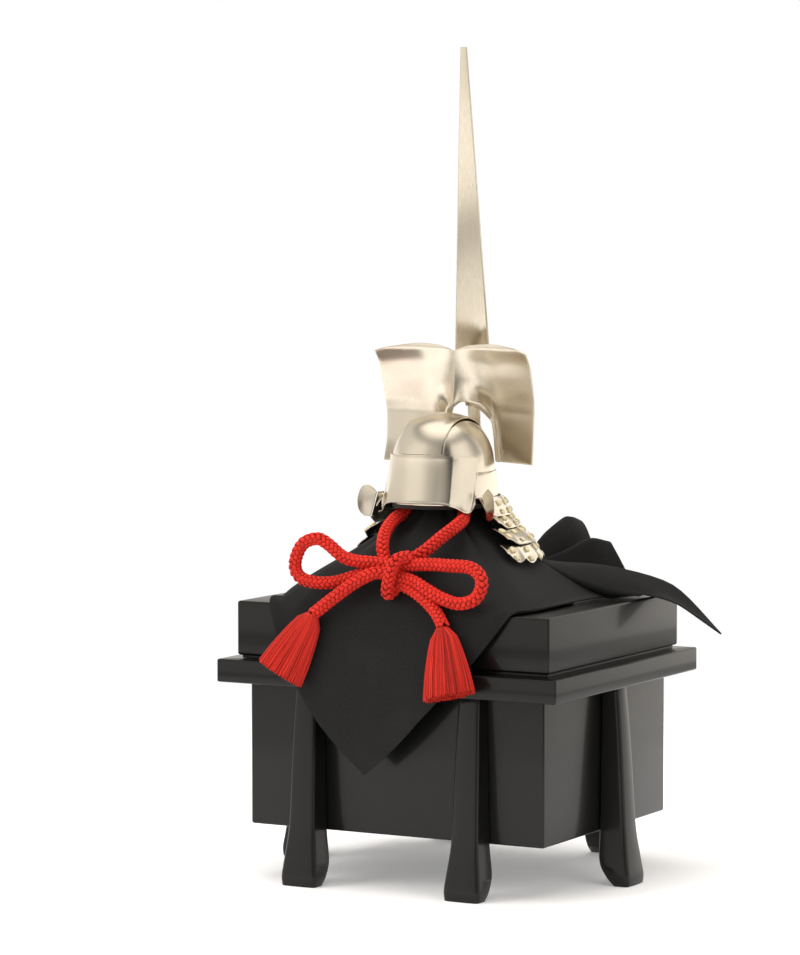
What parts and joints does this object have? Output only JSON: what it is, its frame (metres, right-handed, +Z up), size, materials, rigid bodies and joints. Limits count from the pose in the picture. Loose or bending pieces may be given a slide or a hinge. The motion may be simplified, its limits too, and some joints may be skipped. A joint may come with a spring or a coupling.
{
  "type": "samurai helmet on a lacquered display box",
  "caption": "Samurai helmet with flared neck guard, cut-out crest plate and tall rear spike, on a draped black cloth over a lacquered legged box, tied with a red tasselled cord.",
  "frame": {"origin": "on the floor under the middle of the box, which is the middle of the box's six feet", "axes": "+Z up, the helmet and the box face -Y, +X to the right seen from the front"},
  "size_m": [0.3464, 0.2741, 0.62],
  "materials": {
    "lacquer": "satin black lacquer",
    "plated_metal": "satin plated sheet",
    "spike_metal": "brushed along its length",
    "lining": "matt",
    "cloth": "matt crepe",
    "red_cord": "braided",
    "plain_wood": "plain"
  },
  "bodies": {
    "root": {"box_lid": "lacquer", "box_rim": "lacquer", "box_body": "lacquer", "leg_front_left": "lacquer", "leg_front_right": "lacquer", "leg_back_left": "lacquer", "leg_back_right": "lacquer", "leg_side_right": "lacquer", "leg_side_left": "lacquer", "bowl": "plated_metal", "crown_plate": "plated_metal", "base_band": "plated_metal", "brow_plate": "plated_metal", "lining_band": "lining", "crest_plate": "plated_metal", "rear_spike": "spike_metal", "spike_socket": "plated_metal", "neck_lame_1": "plated_metal", "neck_lame_2": "plated_metal", "neck_lame_3": "plated_metal", "neck_lame_4": "plated_metal", "ear_plate_left": "plated_metal", "ear_plate_right": "plated_metal", "helmet_post": "plain_wood", "cloth": "cloth", "chin_cord": "red_cord", "bow_cord": "red_cord", "tassel_left": "red_cord", "tassel_right": "red_cord"}
  },
  "joints": []
}
